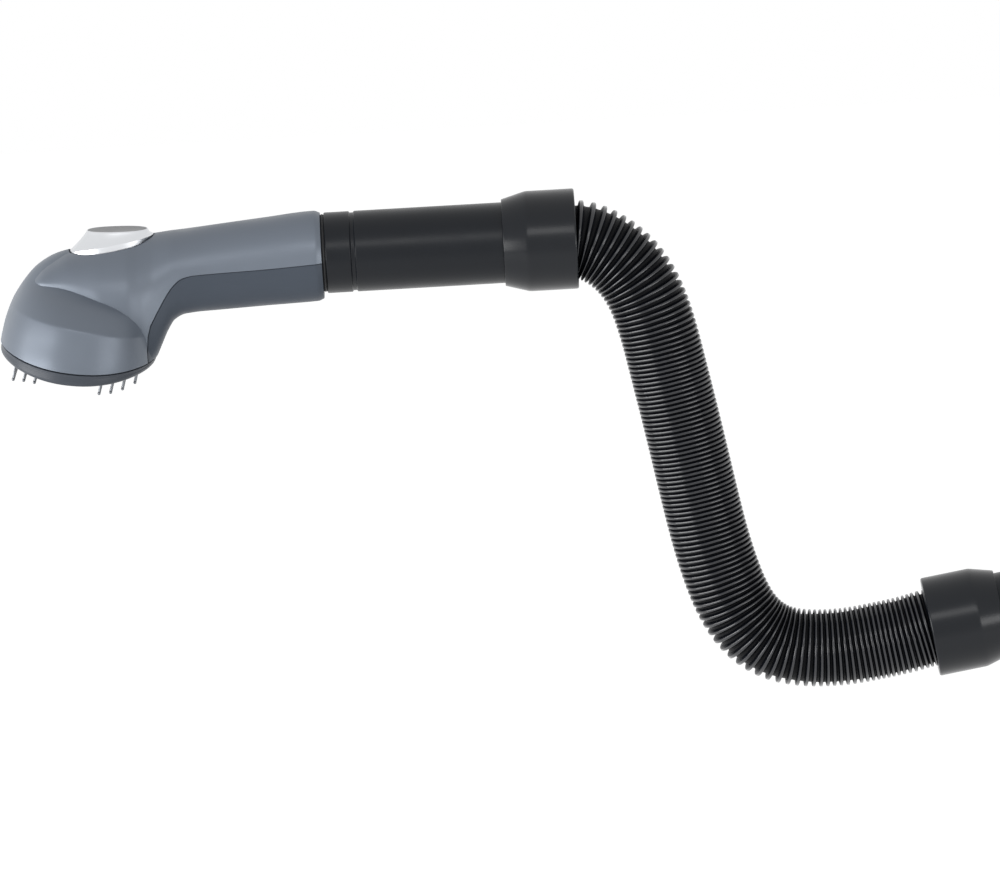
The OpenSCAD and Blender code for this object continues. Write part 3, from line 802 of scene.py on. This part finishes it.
class DRYER_OT_button(bpy.types.Operator):
    """Models the plated ring of the button and its satin cap"""
    bl_idname = "dryer.button"
    bl_label = "Button"

    def execute(self, context):
        head = context.scene.dryer_head
        tones = context.scene.dryer_tones
        a, b, n = head.button_length / MM / 2, head.button_width / MM / 2, 160
        rings = [top_ring(0.05, 0.05, 1, n), top_ring(9, 6, 1, n), top_ring(11.9, 8.5, 1, n),
                 top_ring(12.0, 8.6, 0.9, n), top_ring(12.0, 8.6, 0.12, n),
                 top_ring(12.1, 8.7, 0.0, n), top_ring(12.25, 8.85, 0.03, n),
                 top_ring(12.42, 9.02, 0.16, n), top_ring(12.6, 9.2, 0.45, n)]
        start, end = top_ring(12.8, 9.4, 0.9, n), foot_ring(a, b, 0, n)
        for k in range(13):
            t = k / 12
            flare = -0.35 * math.sin(math.pi * t)
            ring = []
            for p, q in zip(start, end):
                point = p.lerp(q, t)
                away = Vector((point.x + 122, point.y, 0)).normalized()
                ring.append(point + away * flare)
            rings.append(ring)
        rings += [foot_ring(a, b, -along, n) for along in (0.3, 2.5, 5, 7.8)]
        rings += [foot_ring(a - 0.2, b - 0.2, -8, n), foot_ring(a - 1.6, b - 1.6, -8, n),
                  foot_ring(a - 1.8, b - 1.8, -7.8, n), foot_ring(a - 1.9, b - 1.9, 0, n),
                  top_ring(10.6, 7.2, 2.7, n), top_ring(9, 6, 2.6, n),
                  top_ring(0.05, 0.05, 2.6, n)]
        ring = loft("button_ring", rings)
        boss = rod("boss", HEAD @ Vector((2.7, 0, 44)), HEAD @ Vector((2.7, 0, 49.4)), 5.6, 64)
        combine(boss, rod("hole", HEAD @ Vector((2.7, 0, 43)), HEAD @ Vector((2.7, 0, 49.02)),
                          3.52, 64))
        ring = joined([ring, boss], "button_ring")
        smooth(ring, 40)
        dress(ring, self.plating(tones.ring), "ejector", "button_skirt")
        rings = [top_ring(0.05, 0.05, 0.95, n), top_ring(11.7, 8.3, 0.95, n),
                 top_ring(11.87, 8.47, 0.8, n), top_ring(11.87, 8.47, 0.22, n),
                 top_ring(11.8, 8.4, 0.08, n), top_ring(11.6, 8.2, 0.02, n)]
        rings += [top_ring(11.3 * k / 12, 7.9 * k / 12, 0.04 + 0.3 * (1 - (k / 12) ** 2), n)
                  for k in range(12, 0, -1)]
        rings.append(top_ring(0.05, 0.05, 0.34, n))
        cap = loft("button_cap", rings)
        smooth(cap, 40)
        # Blasted and painted silver: an even pale grey with no reflections, set in the bright ring
        satin = moulded("Satin silver cap", tones.cap, 0.5, grain=0.6, bump=0.02, mottle=0.02,
                        **{"Specular IOR Level": 0.25})
        dress(cap, satin, "ejector", "button_top")
        return {"FINISHED"}

    @staticmethod
    def plating(base):
        """Bright plating on ABS: mirror-like, with the faint waves of the moulding under it."""
        # Soft-edged reflections of the lamps that run round the flare and pick out the button
        material = bpy.data.materials.new("Bright plated ABS")
        material.use_nodes = True
        tree = material.node_tree
        tree.nodes.clear()
        place = add(tree, "ShaderNodeTexCoord").outputs["Object"]
        wave = add(tree, "ShaderNodeTexNoise", {"Scale": per_mm(7), "Detail": 1},
                   {"Vector": place})
        rough = add(tree, "ShaderNodeMapRange", {"To Min": 0.26, "To Max": 0.36},
                    {"Value": wave.outputs["Fac"]})
        relief = add(tree, "ShaderNodeBump", {"Strength": 0.06, "Distance": 0.0005},
                     {"Height": wave.outputs["Fac"]})
        surface = add(tree, "ShaderNodeBsdfPrincipled",
                      {"Base Color": tuple(base), "Metallic": 1.0},
                      {"Roughness": rough.outputs["Result"], "Normal": relief.outputs["Normal"]})
        add(tree, "ShaderNodeOutputMaterial", links={"Surface": surface.outputs["BSDF"]})
        return material


class DRYER_OT_sole(bpy.types.Operator):
    """Models the band round the sole and finishes the pins, the bed and the wiper plate"""
    bl_idname = "dryer.sole"
    bl_label = "Sole and pins"

    def execute(self, context):
        head = context.scene.dryer_head
        tones = context.scene.dryer_tones
        a, b, n = head.length / MM / 2, head.width / MM / 2, 224

        def parting(x):
            """Just under the shells."""
            return rocked(x, PARTING_R, PARTING_LOW) - 0.5

        def rim(x):
            """The lowest edge of the band."""
            return rocked(x, SOLE_R, RIM_LOW)

        def seat(x):
            """The ledge on which the pin bed rests."""
            return rocked(x, SOLE_R - BED_UP, RIM_LOW + BED_UP)

        section = [(3.0, parting, 0), (1.4, parting, 0), (0.95, parting, -0.02),
                   (0.7, parting, -0.14), (0.6, parting, -0.38), (0.62, parting, -0.7),
                   (0.75, parting, -0.95), (0.72, parting, -1.25), (0.62, rim, 1.5),
                   (0.68, rim, 0.9), (0.9, rim, 0.42), (1.25, rim, 0.12), (1.7, rim, 0),
                   (3.9, rim, 0), (4.35, rim, 0.1), (4.6, rim, 0.4), (4.6, seat, 0),
                   (3.0, seat, 0)]
        rings = []
        for inset, curve, lift in section:
            rings.append([HEAD @ Vector((x, y, curve(x) + lift))
                          for x, y in oval(a - inset, b - inset, n)])
        band = loft("sole_band", rings, closed=True)
        smooth(band, 50)
        # A dull dark grey with a soft sheen on its rounded rim, which frames the pins
        dress(band, moulded("Grey band moulding", tones.band, 0.4, grain=0.8, bump=0.02,
                            mottle=0.02, **{"Specular IOR Level": 0.3}), "head", "sole_frame")
        # A plain black moulding that stays in the shade behind the pins
        black = moulded("Black moulding", colour("25272a"), 0.45, grain=0.9, bump=0.03)
        for node in ("pin_bed", "wiper_plate"):
            refinish(node, black)
        # Drawn wire with a bright thread of light down each pin and a glint on each ball tip
        refinish("pins", moulded("Polished pin steel", colour("6f7276"), 0.3, grain=0.5,
                                 bump=0.01, mottle=0.05, **{"Metallic": 1.0}))
        # Cloudy pale plating that sets the screw heads off from the black
        zinc = moulded("Zinc-plated steel", colour("9a9da1"), 0.38, grain=0.4, bump=0.04,
                       mottle=0.08, **{"Metallic": 1.0})
        for node in ("bed_screws", "wiper_screw"):
            refinish(node, zinc)
        return {"FINISHED"}


def at_front(piece):
    """Places a piece that was made with X running inwards from the front cuff's mouth."""
    settle(piece, in_metres(Matrix.Translation((MOUTH_X, 0, 0)) @ Matrix.Scale(-1, 4, (1, 0, 0))))


def at_rear(piece):
    """Places a piece that was made with X running inwards from the rear cuff's mouth."""
    settle(piece, in_metres(Matrix.Translation(FAR_MOUTH) @ Matrix.Rotation(
        math.radians(-FAR_LEAN), 4, "Y")))


class DRYER_OT_wand(bpy.types.Operator):
    """Turns the black wand tube with its fine groove"""
    bl_idname = "dryer.wand"
    bl_label = "Wand tube"

    def execute(self, context):
        r = context.scene.dryer_tubes.wand / MM / 2
        ring = MOUTH_X - 5.2
        tube = turned("grip_tube", [
            (12, -64, 0.2), (13.1, -64, 0.3), (13.4, -63.7, 0.2), (13.4, -62.6), (12.7, -62.6),
            (12.7, -61.3), (13.4, -61.3), (13.4, WAND_FRONT), (r, WAND_FRONT, 0.7),
            (r, -25.8, 0.3), (r - 0.6, -25.3, 0.2), (r - 0.6, -24, 0.2), (r, -23.5, 0.3),
            (r, WAND_REAR, 0.4),
            (SPIGOT_R, WAND_REAR), (SPIGOT_R, ring - 1.25), (12.2, ring - 1.25),
            (12.2, ring + 0.05), (SPIGOT_R, ring + 0.05), (SPIGOT_R, MOUTH_X - 4.5, 0.3),
            (SPIGOT_BORE, MOUTH_X - 4.5), (SPIGOT_BORE, WAND_REAR - 1), (r - 2, WAND_REAR - 4),
            (r - 2, WAND_FRONT + 5), (12, WAND_FRONT + 2)])
        smooth(tube, 30)
        # Satin black with one broad soft streak of light along the tube
        dress(tube, moulded("Black tube plastic", context.scene.dryer_tones.tube, 0.32, grain=1.1,
                            bump=0.02, mottle=0.05, **{"Specular IOR Level": 0.25}),
              "wand", "wand_tube")
        return {"FINISHED"}


class DRYER_OT_cuffs(bpy.types.Operator):
    """Turns the two like cuffs of the hose"""
    bl_idname = "dryer.cuffs"
    bl_label = "Hose cuffs"

    def execute(self, context):
        r = context.scene.dryer_tubes.cuff / MM / 2
        tube = context.scene.dryer_tubes.wand / MM / 2
        bore = context.scene.dryer_hose.diameter / MM / 2 + 0.15
        # A little glossier than the tube, so that the cone catches a short clear highlight
        satin = moulded("Black cuff moulding", context.scene.dryer_tones.cuff, 0.24, grain=1.0,
                        bump=0.02, mottle=0.05, **{"Specular IOR Level": 0.3})
        for name, place in (("front_cuff", at_front), ("rear_cuff", at_rear)):
            cuff = turned(name + "_sleeve", [
                (bore, 0, 0.7), (r, 0, 0.9), (r, 20, 7), (17.7, 29.9, 0.4),
                (tube + 0.3, 29.9, 0.2), (tube + 0.3, HOSE_END_AT + 1.3),
                (13.2, HOSE_END_AT + 1.3), (13.2, HOSE_END_AT), (bore, HOSE_END_AT)], 144)
            place(cuff)
            smooth(cuff, 35)
            dress(cuff, satin, "hose", name)
        return {"FINISHED"}


class DRYER_OT_plug(bpy.types.Operator):
    """Turns the plug for the machine with its stop collar"""
    bl_idname = "dryer.plug"
    bl_label = "Machine plug"

    def execute(self, context):
        r = context.scene.dryer_tubes.plug / MM / 2
        wand = context.scene.dryer_tubes.wand / MM / 2
        c = COLLAR_AT
        plug = turned("plug_tube", [
            (SPIGOT_BORE, 4.5, 0.2), (SPIGOT_R, 4.5, 0.3), (SPIGOT_R, 5.15), (12.2, 5.15),
            (12.2, 6.45), (SPIGOT_R, 6.45), (SPIGOT_R, SHOULDER_AT), (wand, SHOULDER_AT, 0.4),
            (wand, c, 0.8), (19.5, c + 0.4, 0.8), (19.5, c + 3, 0.5), (r - 1.5, c + 3),
            (r - 1.5, c + 5), (r, c + 5, 0.2), (r, c + 29, 1.2), (r - 2.2, c + 29, 0.3),
            (r - 2.2, SHOULDER_AT + 4), (SPIGOT_BORE, SHOULDER_AT + 1)], 144)
        at_rear(plug)
        smooth(plug, 30)
        # The tube's satin black, with a thin bright edge on the collar
        dress(plug, moulded("Black plug moulding", context.scene.dryer_tones.tube, 0.32, grain=1.0,
                            bump=0.02, mottle=0.05, **{"Specular IOR Level": 0.25}),
              "plug", "machine_plug")
        return {"FINISHED"}


class DRYER_OT_fittings(bpy.types.Operator):
    """Finishes the bushes, the seals, the snap rings, the stem and the spring"""
    bl_idname = "dryer.fittings"
    bl_label = "Fittings"

    def execute(self, context):
        # Waxy off-white bushes, dead matt rubber and bright coils, seen only when taken apart
        acetal = moulded("Natural acetal", colour("d6d6cf"), 0.4, grain=1.0, bump=0.02)
        rubber = moulded("Seal rubber", colour("1d1e20"), 0.6, grain=0.7, bump=0.06)
        spring = moulded("Spring steel", colour("b3b6ba"), 0.28, grain=0.4, bump=0.02,
                         mottle=0.06, **{"Metallic": 1.0})
        for finish, nodes in ((acetal, ("neck_bush", "front_bush", "rear_bush", "push_stem")),
                              (rubber, ("neck_seal", "plug_seal")),
                              (spring, ("neck_snap_ring", "front_snap_ring", "rear_snap_ring",
                                        "button_spring"))):
            for node in nodes:
                refinish(node, finish)
        return {"FINISHED"}


OPERATORS = (DRYER_OT_stage, DRYER_OT_cuffs, DRYER_OT_plug, DRYER_OT_hose, DRYER_OT_wand,
             DRYER_OT_shells, DRYER_OT_sole, DRYER_OT_button, DRYER_OT_fittings)


class DRYER_PT_panel(bpy.types.Panel):
    """Lists the pieces of the handset"""
    bl_idname = "DRYER_PT_panel"
    bl_label = "Pet dryer"
    bl_space_type = "VIEW_3D"
    bl_region_type = "UI"
    bl_category = "Pet dryer"

    def draw(self, context):
        for kind in OPERATORS:
            self.layout.operator(kind.bl_idname)


GROUPS = {"dryer_head": DryerHead, "dryer_hose": DryerHose, "dryer_tubes": DryerTubes,
          "dryer_tones": DryerTones}


def register():
    for kind in (*GROUPS.values(), *OPERATORS, DRYER_PT_panel):
        bpy.utils.register_class(kind)
    for key, kind in GROUPS.items():
        setattr(bpy.types.Scene, key, PointerProperty(type=kind))


def unregister():
    for key in GROUPS:
        delattr(bpy.types.Scene, key)
    for kind in (*GROUPS.values(), *OPERATORS, DRYER_PT_panel):
        bpy.utils.unregister_class(kind)


def main():
    register()
    for kind in OPERATORS:
        group, name = kind.bl_idname.split(".")
        getattr(getattr(bpy.ops, group), name)()


if __name__ == "__main__":
    main()
